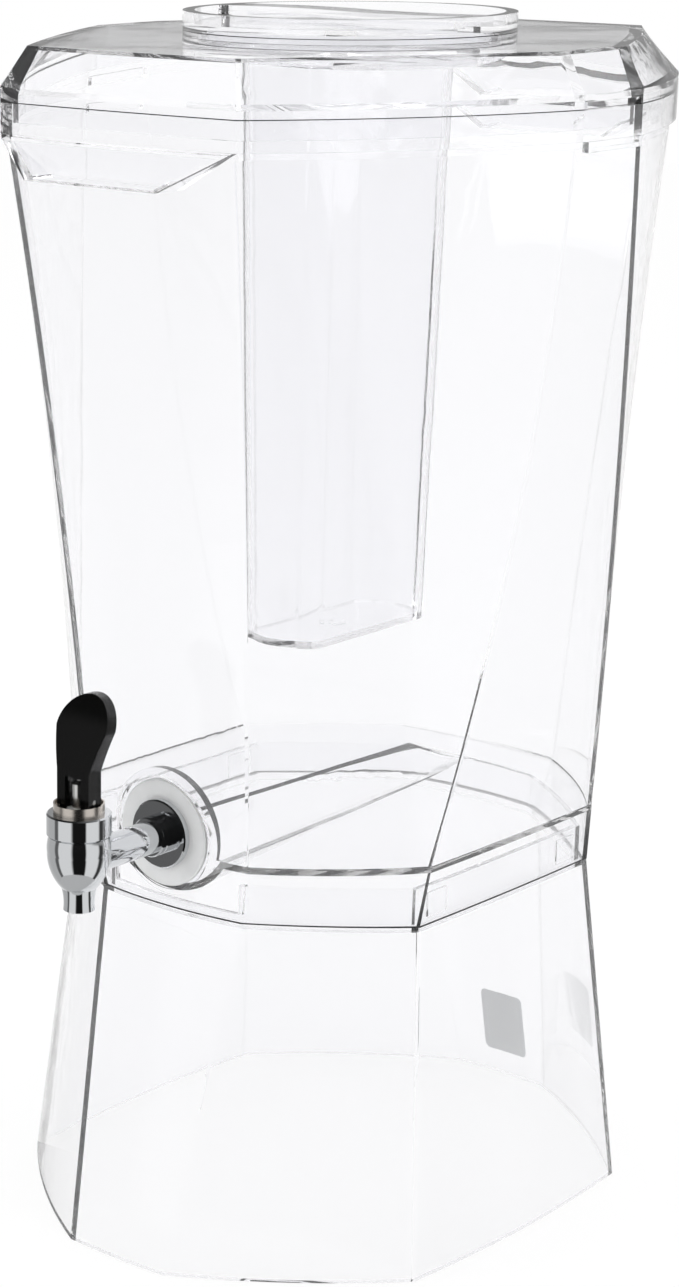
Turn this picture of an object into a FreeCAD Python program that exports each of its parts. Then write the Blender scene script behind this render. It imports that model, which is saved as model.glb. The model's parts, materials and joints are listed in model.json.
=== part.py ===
"""Clear cold-drink dispenser: hollow pedestal, octagonal tank, lid, hanging ice core and lever tap.

+Z is up, the tap points to -Y, and the origin is the middle of the foot.  All lengths are in mm.
"""
import FreeCAD
import Part
import Sketcher
import math
import os

os.makedirs("parts", exist_ok=True)
doc = FreeCAD.newDocument("Dispenser")
sheet = doc.addObject("Spreadsheet::Sheet", "Sizes")

SIZES = [
    # Heights of the moulded shells
    ("shoulder_level", 154.4, "top of the pedestal, where the tank's skirt rests"),
    ("skirt_height", 26.6, "pedestal's top to the inside of the tank's floor"),
    ("flare_height", 140.8, "tank's floor to the middle of its flare"),
    ("tank_depth", 296.8, "tank's floor to the underside of its rim"),
    ("rim_height", 12.1, "height of the tank's rim"),
    ("brim_height", 6.0, "height of the lid's upright edge"),
    ("slope_height", 16.1, "lid's upright edge to its top face"),
    # Pedestal foot outline
    ("foot_front_half", 26.4, "half width of the flat front at the foot"),
    ("foot_reach", 145.0, "axis to the front at the foot"),
    ("foot_side_reach", 111.4, "axis to the side at the foot"),
    ("foot_side_half", 76.6, "half length of the side at the foot"),
    ("foot_front_bulge", 0.9, "bow of the front at the foot"),
    ("foot_corner_bulge", 4.4, "bow of the corner faces at the foot"),
    ("foot_side_bulge", 4.0, "bow of the sides at the foot"),
    # Shoulder outline, shared by the pedestal top and the tank's skirt
    ("shoulder_front_half", 38.9, "half width of the front at the shoulder"),
    ("shoulder_reach", 109.5, "axis to the front at the shoulder"),
    ("shoulder_side_reach", 97.6, "axis to the side at the shoulder"),
    ("shoulder_side_half", 62.4, "half length of the side at the shoulder"),
    ("shoulder_front_bulge", 3.5, "bow of the front at the shoulder"),
    ("shoulder_corner_bulge", 2.0, "bow of the corner faces at the shoulder"),
    ("shoulder_side_bulge", 0.8, "bow of the sides at the shoulder"),
    # Tank outline at its floor
    ("floor_front_half", 44.0, "half width of the front at the floor"),
    ("floor_reach", 112.7, "axis to the front at the floor"),
    ("floor_side_reach", 100.6, "axis to the side at the floor"),
    ("floor_side_half", 59.7, "half length of the side at the floor"),
    ("floor_front_bulge", 3.4, "bow of the front at the floor"),
    ("floor_corner_bulge", 3.2, "bow of the corner faces at the floor"),
    ("floor_side_bulge", 0.8, "bow of the sides at the floor"),
    # Tank outline half way up
    ("waist_front_half", 50.6, "half width of the front at the waist"),
    ("waist_reach", 125.2, "axis to the front at the waist"),
    ("waist_side_reach", 120.4, "axis to the side at the waist"),
    ("waist_side_half", 37.2, "half length of the side at the waist"),
    ("waist_front_bulge", 2.6, "bow of the front at the waist"),
    ("waist_corner_bulge", 5.6, "bow of the corner faces at the waist"),
    ("waist_side_bulge", 0.8, "bow of the sides at the waist"),
    # Tank wall outline just under the rim
    ("neck_front_half", 59.4, "half width of the front under the rim"),
    ("neck_reach", 146.3, "axis to the front under the rim"),
    ("neck_side_reach", 131.2, "axis to the side under the rim"),
    ("neck_side_half", 22.4, "half length of the side under the rim"),
    ("neck_front_bulge", 1.8, "bow of the front under the rim"),
    ("neck_corner_bulge", 8.8, "bow of the corner faces under the rim"),
    ("neck_side_bulge", 0.8, "bow of the sides under the rim"),
    # Rim and lid outline
    ("mouth_front_half", 61.5, "half width of the front at the rim"),
    ("mouth_reach", 147.2, "axis to the front at the rim"),
    ("mouth_side_reach", 132.6, "axis to the side at the rim"),
    ("mouth_side_half", 20.7, "half length of the side at the rim"),
    ("mouth_front_bulge", 1.8, "bow of the front at the rim"),
    ("mouth_corner_bulge", 9.8, "bow of the corner faces at the rim"),
    ("mouth_side_bulge", 0.8, "bow of the sides at the rim"),
    # Lid top outline
    ("plate_front_half", 54.1, "half width of the front of the lid's top"),
    ("plate_reach", 139.2, "axis to the front of the lid's top"),
    ("plate_side_reach", 123.8, "axis to the side of the lid's top"),
    ("plate_side_half", 20.2, "half length of the side of the lid's top"),
    ("plate_front_bulge", 1.2, "bow of the front of the lid's top"),
    ("plate_corner_bulge", 2.5, "bow of the corner faces of the lid's top"),
    ("plate_side_bulge", 0.6, "bow of the sides of the lid's top"),
    # Walls and fits
    ("wall", 3.0, "wall of every moulded shell"),
    ("corner_round", 3.0, "rounding of the shells' upright edges"),
    ("rim_inset", 5.6, "rim's outside to the tank's mouth"),
    ("seat_gap", 0.4, "clearance round a lifted-off piece"),
    ("flange_rise", 15.6, "upright flange that centres the tank on the pedestal"),
    ("flange_wall", 2.5, "wall of the locating flanges"),
    ("flange_gap", 1.6, "pedestal's flange to the tank's skirt"),
    ("skirt_drop", 8.0, "lid's locating skirt below the rim"),
    ("lip_half", 19.0, "half length of the finger lip under the rim's side"),
    ("lip_drop", 4.2, "depth of the finger lip"),
    ("lip_reach", 1.6, "finger lip outside the rim"),
    ("lid_notch_rise", 3.0, "height of the finger notch under the lid's side"),
    ("lid_notch_depth", 2.5, "depth of the finger notch"),
    ("lug_width", 13.0, "length of a lug"),
    ("lug_rise", 11.0, "height of a lug"),
    ("lug_spacing", 47.5, "middle of the side to a lug"),
    ("notch_half", 34.5, "half width of the flange's notch for the drain trough"),
    # Drain trough in the tank's floor
    ("trough_front_half", 29.0, "half width of the trough at the tap"),
    ("trough_front_sag", 16.0, "depth of the trough at the tap"),
    ("trough_back_half", 19.0, "half width of the trough at the back"),
    ("trough_back_sag", 0.8, "depth of the trough at the back"),
    ("trough_back_reach", 84.0, "axis to the back end of the trough"),
    # Front and back grips
    ("grip_top_half", 61.0, "half width of a grip at the rim"),
    ("grip_tip_half", 34.0, "half width of a grip's lower edge"),
    ("grip_reach", 162.5, "axis to a grip's lower edge"),
    ("grip_drop", 15.5, "height of a grip below the rim"),
    # Tap hole
    ("tap_height", 7.0, "tank's floor to the middle of the tap's shank"),
    ("pad_stand", 0.8, "flat round pad in front of the tank's wall at the floor"),
    ("pad_radius", 25.3, "recess round the tap's washer"),
    ("pad_wall", 3.5, "thickness of the pad"),
    ("shank_hole_radius", 8.3, "hole for the tap's shank"),
    # Lid hole and ice core
    ("hub_radius", 70.0, "core's flange and cap"),
    ("cup_radius", 66.0, "round cup of the core"),
    ("core_play", 1.2, "loose fit of the core in the lid's hole and of the cap in the core"),
    ("collar_drop", 9.0, "collar of the lid's round hole"),
    ("core_flange", 2.2, "thickness of the core's flange"),
    ("cup_depth", 14.0, "lid's top to the underside of the core's cup"),
    ("core_length", 254.5, "lid's top to the bottom of the core"),
    ("core_wall", 2.6, "wall of the core"),
    ("core_half_width", 20.5, "half width of the core's tube at the bottom"),
    ("core_half_length", 43.0, "half length of the core's tube at the bottom"),
    ("core_end_bulge", 3.6, "bow of the core's ends between their rounded corners"),
    ("core_corner", 9.0, "rounding of the core's upright corners"),
    ("gate_radius", 4.0, "round gate mark under the core"),
    ("gate_rise", 0.6, "height of the gate mark"),
    ("core_draft", 4.0, "growth of the tube from bottom to cup, each side"),
    # Core cap
    ("cap_rise", 8.0, "cap's height above the core's flange"),
    ("cap_wall", 2.4, "wall of the cap"),
    ("cap_plug_drop", 6.0, "cap's skirt inside the core"),
    ("pocket_rim", 5.0, "rim outside the cap's finger pockets"),
    ("grip_offset", 9.0, "middle of the cap to a finger pocket"),
    ("grip_wave", 5.0, "swing of the waved grip"),
    ("pocket_floor", 1.0, "pocket's floor above the core's flange"),
    # Tap: heights
    ("tap_projection", 54.5, "tank's pad to the tap's own axis"),
    ("nozzle_drop", 20.6, "shank's middle down to the nozzle's mouth"),
    ("valve_seat_drop", 11.0, "shank's middle down to the lower end of the conical seat"),
    ("chamber_drop", 5.0, "shank's middle down to the upper end of the conical seat"),
    ("joint_rise", 11.5, "shank's middle up to the shoulder under the collar"),
    ("thread_length", 7.0, "length of the body's threaded neck"),
    ("collar_lip", 3.0, "collar above the threaded neck"),
    ("cam_rise", 5.0, "threaded neck up to the seat of the lever's cams"),
    ("cam_clearance", 0.02, "running clearance under the cams"),
    ("clamp_thick", 1.5, "cam ring's flange under the collar"),
    ("spigot_drop", 4.5, "cam ring's spigot inside the body"),
    ("bush_lip", 1.0, "thickness of the bush's flange"),
    ("cap_ring_rise", 2.3, "ring round the cams above their seat"),
    ("pin_rise", 3.6, "cams up to the lever pin"),
    ("slot_rise", 9.9, "lever pin up to the roof of the fork"),
    ("fork_bridge", 3.0, "fork's roof up to where the paddle begins"),
    ("stem_rise", 8.3, "lever pin up to the top of the stem"),
    # Tap: radii
    ("nozzle_radius", 6.7, "outside of the nozzle's mouth"),
    ("nozzle_bore", 5.0, "nozzle's bore"),
    ("neck_radius", 7.5, "outside over the nozzle"),
    ("bulb_radius", 13.4, "widest part of the bulb"),
    ("bulb_lift", 4.6, "widest part of the bulb above the shank"),
    ("nozzle_bow", 0.5, "hollow of the nozzle's outside"),
    ("bulb_bow", 1.6, "swell of the bulb's lower half"),
    ("joint_bow", 0.35, "swell of the bulb's upper half"),
    ("edge", 0.6, "bevel of turned edges"),
    ("joint_radius", 12.7, "bulb at the collar"),
    ("chamber_radius", 9.8, "inside of the valve chamber"),
    ("thread_radius", 11.6, "threaded neck"),
    ("collar_radius", 13.6, "collar"),
    ("ring_radius", 10.7, "ring above the collar"),
    ("ring_bore", 10.0, "inside of the ring's edge"),
    ("bush_radius", 5.0, "stem bush"),
    ("bush_flange", 7.5, "flange of the stem bush"),
    ("stem_radius", 3.0, "valve stem"),
    ("running_gap", 0.05, "radial clearance of the stem in its bush"),
    ("fit_gap", 0.05, "radial clearance of assembled pieces"),
    ("seal_radius", 8.4, "valve seal"),
    ("seal_nose", 0.8, "nose of the seal below the stem"),
    ("seal_ease", 1.0, "seal's cone below the top of its seat"),
    ("seal_bite", 0.5, "rim of the seal's socket"),
    ("washer_gauge", 0.8, "thickness of the lower spring washer"),
    ("spring_radius", 6.0, "middle of the spring's wire"),
    ("spring_wire", 0.6, "radius of the spring's wire"),
    ("spring_turns", 5.0, "turns of the spring"),
    ("spring_stand", 1.9, "conical seat up to the spring"),
    ("spring_cup_gauge", 1.3, "thickness of the upper spring washer"),
    ("oring_radius", 0.85, "section radius of the stem's O-ring"),
    # Tap: shank
    ("shank_radius", 7.15, "shank tube"),
    ("shank_bore", 4.6, "bore of the shank"),
    ("socket_overlap", 0.5, "how far the socket starts inside the chamber wall"),
    ("spigot_radius", 5.9, "shank's spigot in the body"),
    ("spigot_length", 4.0, "depth of the body's socket"),
    ("socket_length", 20.0, "tap's own axis to the face of its socket"),
    ("step_stand", 11.5, "tank's pad to the first ring of the shank"),
    ("ring_width", 3.1, "first ring's face to the groove between the rings"),
    ("step_radius", 8.7, "rings on the shank"),
    ("disc_radius", 15.0, "shank's flange"),
    ("disc_thick", 3.0, "thickness of the shank's flange"),
    ("washer_radius", 23.5, "outer washer"),
    ("washer_thick", 2.0, "thickness of either washer"),
    ("thread_stub", 3.0, "shank's thread beyond the lock nut"),
    ("shank_thread_radius", 7.9, "threaded end of the shank"),
    ("inner_washer_radius", 16.0, "inner washer"),
    ("nut_flats", 26.0, "lock nut over its flats"),
    ("nut_thick", 8.0, "thickness of the lock nut"),
    # Tap: lever
    ("fork_half_width", 8.8, "half width of the lever's fork"),
    ("fork_half_depth", 3.8, "half depth of the lever's fork"),
    ("slot_half", 4.35, "half width of the fork's slot"),
    ("cam_flat", 1.48, "flat of the cams in front of the pin"),
    ("cam_toe_rise", 0.76, "rise of the cams' front edge"),
    ("cam_bow", 0.19, "bow of the cams' working edge"),
    ("heel", 1.2, "bevel behind the cams"),
    ("pin_radius", 1.2, "lever pin"),
    ("paddle_half_width", 13.6, "half width of the paddle"),
    ("paddle_length", 30.2, "height of the paddle above the fork"),
    ("paddle_lean", 12.2, "front of the fork to the front of the paddle's top"),
    ("paddle_thick", 4.6, "thickness of the paddle at its top"),
    ("paddle_bow", 1.6, "bow of the paddle's front"),
]


class Length:
    """A number together with the spreadsheet expression that it comes from."""

    def __init__(self, value, text):
        self.value = value
        self.text = text

    def _join(self, other, sign, value):
        other = other if isinstance(other, Length) else Length(other, repr(other))
        return Length(value, "(%s %s %s)" % (self.text, sign, other.text))

    def __add__(self, other):
        return self._join(other, "+", self.value + number(other))

    def __sub__(self, other):
        return self._join(other, "-", self.value - number(other))

    def __mul__(self, other):
        return self._join(other, "*", self.value * number(other))

    def __truediv__(self, other):
        return self._join(other, "/", self.value / number(other))

    def __neg__(self):
        return Length(-self.value, "(0 - %s)" % self.text)


def number(length):
    return length.value if isinstance(length, Length) else float(length)


def root(length):
    return Length(math.sqrt(length.value), "sqrt(%s)" % length.text)


class Dimensions:
    """Every named size as a Length."""


dim = Dimensions()
for row, (alias, value, note) in enumerate(SIZES, start=1):
    sheet.set("A%d" % row, note)
    sheet.set("B%d" % row, str(value))
    sheet.setAlias("B%d" % row, alias)
    setattr(dim, alias, Length(value, "Sizes." + alias))
doc.recompute()
ZERO = Length(0.0, "0")

# Places that follow from the sizes
dim.floor_level = dim.shoulder_level + dim.skirt_height
dim.waist_level = dim.floor_level + dim.flare_height
dim.rim_level = dim.floor_level + dim.tank_depth
dim.mouth_level = dim.rim_level + dim.rim_height
dim.brim_level = dim.mouth_level + dim.brim_height
dim.plate_level = dim.brim_level + dim.slope_height
dim.cup_level = dim.plate_level - dim.cup_depth
dim.core_level = dim.plate_level - dim.core_length
dim.lug_reach = dim.flange_gap - dim.seat_gap
dim.tap_level = dim.floor_level + dim.tap_height
dim.pad_reach = dim.floor_reach + dim.pad_stand
dim.tap_reach = dim.pad_reach + dim.tap_projection
dim.socket_reach = dim.tap_reach - dim.socket_length
dim.step_reach = dim.pad_reach + dim.step_stand
dim.groove_reach = dim.step_reach - dim.ring_width
dim.nozzle_level = dim.tap_level - dim.nozzle_drop
dim.valve_seat_level = dim.tap_level - dim.valve_seat_drop
dim.chamber_level = dim.tap_level - dim.chamber_drop
dim.seal_shoulder = dim.chamber_level - dim.seal_ease
dim.joint_level = dim.tap_level + dim.joint_rise
dim.thread_level = dim.joint_level + dim.thread_length
dim.collar_top = dim.thread_level + dim.collar_lip
dim.cam_level = dim.thread_level + dim.cam_rise
dim.cap_ring_top = dim.cam_level + dim.cap_ring_rise
dim.lever_level = dim.cam_level + dim.cam_clearance
dim.pin_level = dim.lever_level + dim.pin_rise
dim.slot_top = dim.pin_level + dim.slot_rise
dim.seam_level = dim.slot_top + dim.fork_bridge
dim.stem_top = dim.pin_level + dim.stem_rise
dim.paddle_top = dim.seam_level + dim.paddle_length
dim.spring_foot = dim.chamber_level + dim.spring_stand
dim.bush_level = dim.thread_level - dim.spigot_drop
dim.spring_head = dim.bush_level - dim.bush_lip - dim.spring_cup_gauge


def bind(item, prop, length):
    item.setExpression(prop, length.text)


def new_body(label):
    body = doc.addObject("PartDesign::Body", label)
    body.Label = label
    return body


def new_sketch(body, name, role, offset):
    """A sketch on one of the body's own origin planes, moved along that plane's normal."""
    sketch = body.newObject("Sketcher::SketchObject", name)
    plane = next(item for item in body.Origin.OriginFeatures if item.Role == role)
    sketch.AttachmentSupport = [(plane, "")]
    sketch.MapMode = "FlatFace"
    sketch.AttachmentOffset = FreeCAD.Placement(FreeCAD.Vector(0, 0, number(offset)), FreeCAD.Rotation())
    bind(sketch, "AttachmentOffset.Base.z", offset)
    return sketch


def bow_radius(start, end, bow):
    """Radius of an arc from its two ends and its bow."""
    across = end[0] - start[0]
    along = end[1] - start[1]
    half_squared = (across * across + along * along) / 4
    return (half_squared + bow * bow) / (bow * 2)


def loop(sketch, corners, bows=None):
    """A closed outline, corner by corner anticlockwise; a bowed edge is an arc that swells outward.

    A bow given as (length, -1) is hollow instead.
    """
    bows = bows or {}
    first = sketch.GeometryCount
    count = len(corners)
    radii = []
    for index, start in enumerate(corners):
        end = corners[(index + 1) % count]
        p = FreeCAD.Vector(number(start[0]), number(start[1]), 0)
        q = FreeCAD.Vector(number(end[0]), number(end[1]), 0)
        if index not in bows:
            sketch.addGeometry(Part.LineSegment(p, q), False)
            radii.append(None)
            continue
        bow, side = bows[index] if isinstance(bows[index], tuple) else (bows[index], 1)
        radius = bow_radius(start, end, bow)
        chord = q - p
        outward = FreeCAD.Vector(chord.y, -chord.x, 0).normalize() * side
        centre = (p + q) * 0.5 + outward * (bow.value - radius.value)
        ends = (p, q) if side > 0 else (q, p)
        angles = [math.atan2(point.y - centre.y, point.x - centre.x) for point in ends]
        circle = Part.Circle(centre, FreeCAD.Vector(0, 0, 1), radius.value)
        sketch.addGeometry(Part.ArcOfCircle(circle, angles[0], angles[1]), False)
        radii.append((radius, side))

    def end_of(index, which):
        turned = radii[index] is not None and radii[index][1] < 0
        return 3 - which if turned else which

    sizes = []
    for index in range(count):
        following = (index + 1) % count
        sketch.addConstraint(Sketcher.Constraint(
            "Coincident", first + index, end_of(index, 2), first + following, end_of(following, 1)))
    for index, corner in enumerate(corners):
        for kind, length in (("DistanceX", corner[0]), ("DistanceY", corner[1])):
            number_of = sketch.addConstraint(Sketcher.Constraint(
                kind, first + index, end_of(index, 1), number(length)))
            sizes.append((number_of, length))
        if radii[index] is not None:
            number_of = sketch.addConstraint(Sketcher.Constraint(
                "Radius", first + index, number(radii[index][0])))
            sizes.append((number_of, radii[index][0]))
    for number_of, length in sizes:
        if length is not ZERO:
            sketch.setExpression("Constraints[%d]" % number_of, length.text)


def ring(sketch, radius, centre=(ZERO, ZERO)):
    """A full circle."""
    middle = FreeCAD.Vector(number(centre[0]), number(centre[1]), 0)
    index = sketch.addGeometry(Part.Circle(middle, FreeCAD.Vector(0, 0, 1), number(radius)), False)
    size = sketch.addConstraint(Sketcher.Constraint("Radius", index, number(radius)))
    sketch.setExpression("Constraints[%d]" % size, radius.text)
    for kind, length in (("DistanceX", centre[0]), ("DistanceY", centre[1])):
        place = sketch.addConstraint(Sketcher.Constraint(kind, index, 3, number(length)))
        if length is not ZERO:
            sketch.setExpression("Constraints[%d]" % place, length.text)


def feature(body, kind, sketch, length=None, reverse=False, midplane=False):
    """A Pad or Pocket of one sketch; without a length a Pocket goes through everything."""
    item = body.newObject("PartDesign::" + kind, sketch.Name + kind)
    item.Profile = sketch
    item.Reversed = reverse
    item.Midplane = midplane
    if length is None:
        item.Type = 1
    else:
        bind(item, "Length", length)
    return item


def turn(body, kind, sketch):
    """A Revolution or Groove of one sketch about its own vertical axis."""
    item = body.newObject("PartDesign::" + kind, sketch.Name + kind)
    item.Profile = sketch
    item.ReferenceAxis = (sketch, ["V_Axis"])
    item.Angle = 360
    return item


def loft(body, kind, sketches, ruled=False):
    item = body.newObject("PartDesign::" + kind, sketches[0].Name + kind)
    item.Profile = sketches[0]
    item.Sections = sketches[1:]
    item.Ruled = ruled
    return item


class Octagon:
    """Outline of the shells at one level: flat front and sides, four corner faces, all gently bowed."""

    def __init__(self, name):
        self.front_half = getattr(dim, name + "_front_half")
        self.reach = getattr(dim, name + "_reach")
        self.side_reach = getattr(dim, name + "_side_reach")
        self.side_half = getattr(dim, name + "_side_half")
        self.bows = [getattr(dim, name + suffix)
                     for suffix in ("_front_bulge", "_corner_bulge", "_side_bulge")]

    def corners(self, inset):
        """Right front corner first; inset moves every face inward by the same amount."""
        across = self.side_reach - self.front_half
        along = self.reach - self.side_half
        slope = root(across * across + along * along)
        front_shift = inset * (slope - across) / along
        side_shift = inset * (slope - along) / across
        near = self.front_half - front_shift
        end = self.reach - inset
        far = self.side_half - side_shift
        side = self.side_reach - inset
        return [(near, -end), (side, -far), (side, far), (near, end),
                (-near, end), (-side, far), (-side, -far), (-near, -end)]

    def sketch(self, body, name, level, inset=None):
        item = new_sketch(body, name, "XY_Plane", level)
        corners = self.corners(inset or dim.wall * 0)
        front, corner, side = self.bows
        loop(item, corners, {0: corner, 1: side, 2: corner, 3: front,
                             4: corner, 5: side, 6: corner, 7: front})
        return item


foot = Octagon("foot")
shoulder = Octagon("shoulder")
floor = Octagon("floor")
waist = Octagon("waist")
neck = Octagon("neck")
mouth = Octagon("mouth")
plate = Octagon("plate")


def soften(body, name, low, high, radius):
    """Rounds the body's upright edges that run from one level all the way to another."""
    base = body.Tip
    picked = []
    for number_of, edge in enumerate(base.Shape.Edges, start=1):
        extent = edge.BoundBox
        if abs(extent.ZMin - number(low)) < 0.05 and abs(extent.ZMax - number(high)) < 0.05:
            picked.append("Edge%d" % number_of)
    item = body.newObject("PartDesign::Fillet", name)
    item.Base = (base, picked)
    bind(item, "Radius", radius)
    return item


def box(body, kind, name, low, high):
    """An axis-aligned PartDesign box between two corners."""
    item = body.newObject("PartDesign::" + kind, name)
    for prop, start, end in zip(("Length", "Width", "Height"), low, high):
        bind(item, prop, end - start)
    for prop, start in zip("xyz", low):
        bind(item, "Placement.Base." + prop, start)
    return item


def barrel(body, kind, name, radius, reach, end_reach, level):
    """A PartDesign cylinder along Y from the -reach plane towards the -end_reach plane."""
    item = body.newObject("PartDesign::" + kind, name)
    item.Placement = FreeCAD.Placement(
        FreeCAD.Vector(0, -number(reach), number(level)), FreeCAD.Rotation(FreeCAD.Vector(1, 0, 0), -90))
    bind(item, "Radius", radius)
    bind(item, "Height", reach - end_reach)
    bind(item, "Placement.Base.y", -reach)
    bind(item, "Placement.Base.z", level)
    return item


# Pedestal: an open-bottomed shell with an inward ledge and an upright flange that centres the tank
pedestal = new_body("pedestal_base")
ledge_inset = dim.wall + dim.flange_gap
flange_inset = ledge_inset + dim.flange_wall
loft(pedestal, "AdditiveLoft", [
    foot.sketch(pedestal, "FootOutline", ZERO),
    shoulder.sketch(pedestal, "ShoulderOutline", dim.shoulder_level)], ruled=True)
loft(pedestal, "SubtractiveLoft", [
    foot.sketch(pedestal, "FootHollow", ZERO, dim.wall),
    shoulder.sketch(pedestal, "ShoulderHollow", dim.shoulder_level - dim.wall, dim.wall)], ruled=True)
doc.recompute()
soften(pedestal, "SoftPedestalEdges", ZERO, dim.shoulder_level, dim.corner_round)
flange = shoulder.sketch(pedestal, "LocatingFlange", dim.shoulder_level - dim.wall, ledge_inset)
feature(pedestal, "Pad", flange, dim.wall + dim.flange_rise)
for hand, name in ((1, "Right"), (-1, "Left")):
    for end, place in ((1, "Back"), (-1, "Front")):
        outer = dim.shoulder_side_reach - ledge_inset + dim.lug_reach
        inner = outer - dim.flange_wall - dim.lug_reach
        low_x, high_x = (inner, outer) if hand > 0 else (-outer, -inner)
        middle = dim.lug_spacing if end > 0 else -dim.lug_spacing
        top = dim.shoulder_level + dim.flange_rise
        box(pedestal, "AdditiveBox", "Lug" + name + place,
            (low_x, middle - dim.lug_width / 2, top - dim.lug_rise - dim.flange_wall),
            (high_x, middle + dim.lug_width / 2, top - dim.flange_wall))
opening = shoulder.sketch(pedestal, "FlangeOpening", dim.shoulder_level - dim.wall * 2, flange_inset)
feature(pedestal, "Pocket", opening, dim.wall * 3 + dim.flange_rise, reverse=True)
box(pedestal, "SubtractiveBox", "TroughNotch",
    (-dim.notch_half, -dim.shoulder_reach - dim.wall, dim.shoulder_level + dim.flange_wall),
    (dim.notch_half, -dim.shoulder_reach / 2, dim.shoulder_level + dim.flange_rise * 2))

# Tank: skirt, flared walls, rim and floor in one moulding, with grips, drain trough and tap pad
tank = new_body("tank")
loft(tank, "AdditiveLoft", [
    shoulder.sketch(tank, "SkirtOutline", dim.shoulder_level),
    floor.sketch(tank, "SkirtTopOutline", dim.floor_level)], ruled=True)
loft(tank, "AdditiveLoft", [
    floor.sketch(tank, "FloorOutline", dim.floor_level),
    waist.sketch(tank, "WaistOutline", dim.waist_level),
    neck.sketch(tank, "NeckOutline", dim.rim_level)])
doc.recompute()
soften(tank, "SoftWallEdges", dim.floor_level, dim.rim_level, dim.corner_round)
feature(tank, "Pad", mouth.sketch(tank, "RimOutline", dim.rim_level), dim.mouth_level - dim.rim_level)


def grip_section(name, drop, hand, thin, back):
    """Plan of a grip at one height below the rim; it grows outward and narrower on its way down."""
    item = new_sketch(tank, name, "XY_Plane", dim.rim_level - drop)
    share = drop / dim.grip_drop
    top_reach = dim.mouth_reach + dim.wall / 2
    front = top_reach + (dim.grip_reach - top_reach) * share - thin
    half = dim.grip_top_half + (dim.grip_tip_half - dim.grip_top_half) * share - thin
    loop(item, [(half * hand, front * hand), (-half * hand, front * hand),
                (-half * hand, back * hand), (half * hand, back * hand)])
    return item


none = dim.wall * 0
for hand, name in ((-1, "Front"), (1, "Back")):
    root_reach = dim.neck_reach - dim.wall * 1.5
    loft(tank, "AdditiveLoft", [
        grip_section(name + "GripTop", none, hand, none, root_reach),
        grip_section(name + "GripTip", dim.grip_drop, hand, none, root_reach)], ruled=True)
    wall_face = dim.neck_reach + dim.neck_front_bulge
    loft(tank, "SubtractiveLoft", [
        grip_section(name + "GripHollowTop", dim.wall, hand, dim.wall, wall_face),
        grip_section(name + "GripHollowTip", dim.grip_drop * 1.02, hand, dim.wall, wall_face)], ruled=True)
loft(tank, "SubtractiveLoft", [
    floor.sketch(tank, "FloorHollow", dim.floor_level, dim.wall),
    waist.sketch(tank, "WaistHollow", dim.waist_level, dim.wall),
    neck.sketch(tank, "NeckHollow", dim.rim_level - dim.wall, dim.wall)])
for hand, name in ((1, "Right"), (-1, "Left")):
    inner = dim.neck_side_reach - dim.wall / 2
    outer = dim.mouth_side_reach + dim.lip_reach
    low_x, high_x = (inner, outer) if hand > 0 else (-outer, -inner)
    box(tank, "AdditiveBox", "FingerLip" + name, (low_x, -dim.lip_half, dim.rim_level - dim.lip_drop),
        (high_x, dim.lip_half, dim.rim_level))
feature(tank, "Pocket", mouth.sketch(tank, "MouthHollow", dim.rim_level - dim.wall * 1.1, dim.rim_inset),
        dim.mouth_level - dim.rim_level + dim.wall * 3, reverse=True)
loft(tank, "SubtractiveLoft", [
    shoulder.sketch(tank, "SkirtHollow", dim.shoulder_level, dim.wall),
    floor.sketch(tank, "SkirtHollowTop", dim.floor_level - dim.wall, dim.wall)], ruled=True)


def trough_section(name, reach, half, sag, thick, top):
    """Cross-section of the drain trough: a flat lid line, short upright sides and a round bottom."""
    item = new_sketch(tank, name, "XZ_Plane", reach)
    wide = half + thick
    loop(item, [(-wide, dim.floor_level - thick / 2), (wide, dim.floor_level - thick / 2),
                (wide, dim.floor_level + top), (-wide, dim.floor_level + top)],
         {0: sag + thick / 2})
    return item


inner_reach = dim.pad_reach - dim.pad_wall
loft(tank, "AdditiveLoft", [
    trough_section("TroughFront", inner_reach + dim.wall / 2, dim.trough_front_half,
                   dim.trough_front_sag, dim.wall, -dim.wall / 3),
    trough_section("TroughBack", -dim.trough_back_reach, dim.trough_back_half,
                   dim.trough_back_sag, dim.wall, -dim.wall / 3)], ruled=True)
barrel(tank, "AdditiveCylinder", "TapPad", dim.pad_radius + dim.wall, dim.pad_reach, inner_reach,
       dim.tap_level)
barrel(tank, "SubtractiveCylinder", "TapRecess", dim.pad_radius, dim.pad_reach + dim.wall * 3,
       dim.pad_reach, dim.tap_level)
loft(tank, "SubtractiveLoft", [
    trough_section("TroughHollowFront", inner_reach, dim.trough_front_half,
                   dim.trough_front_sag, none, dim.wall),
    trough_section("TroughHollowBack", -dim.trough_back_reach, dim.trough_back_half,
                   dim.trough_back_sag, none, dim.wall)], ruled=True)
barrel(tank, "SubtractiveCylinder", "ShankHole", dim.shank_hole_radius, dim.pad_reach + dim.wall,
       inner_reach - dim.wall, dim.tap_level)

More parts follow.
